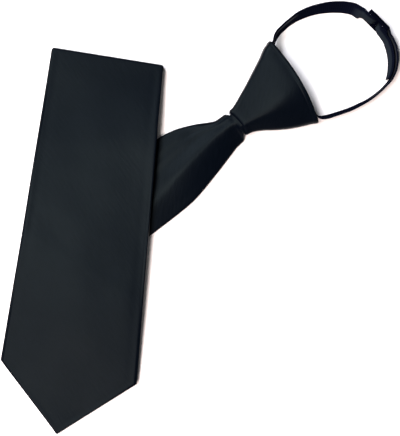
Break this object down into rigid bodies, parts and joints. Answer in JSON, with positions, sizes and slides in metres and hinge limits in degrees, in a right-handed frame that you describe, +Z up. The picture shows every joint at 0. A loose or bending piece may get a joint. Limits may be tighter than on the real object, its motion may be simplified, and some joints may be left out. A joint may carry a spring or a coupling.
{
  "type": "adjustable necktie",
  "caption": "Pre-tied satin necktie lying folded on a surface, with a formed knot and an adjustable neck loop of ribbon with a flat slide.",
  "frame": {"origin": "middle of the lying necktie's outline in X and Y, at the surface that it lies on", "axes": "+Z up out of the surface; +Y along its longest extent, from the blade's tip towards the neck loop; +X to the side of the knot"},
  "size_m": [0.23, 0.2498, 0.0219],
  "materials": {
    "satin": "satin",
    "ribbon": "satin",
    "slide": "satin"
  },
  "bodies": {
    "root": {"blade": "satin", "knot": "satin", "strap_left": "ribbon", "strap_right": "ribbon", "slider": "slide"}
  },
  "joints": []
}
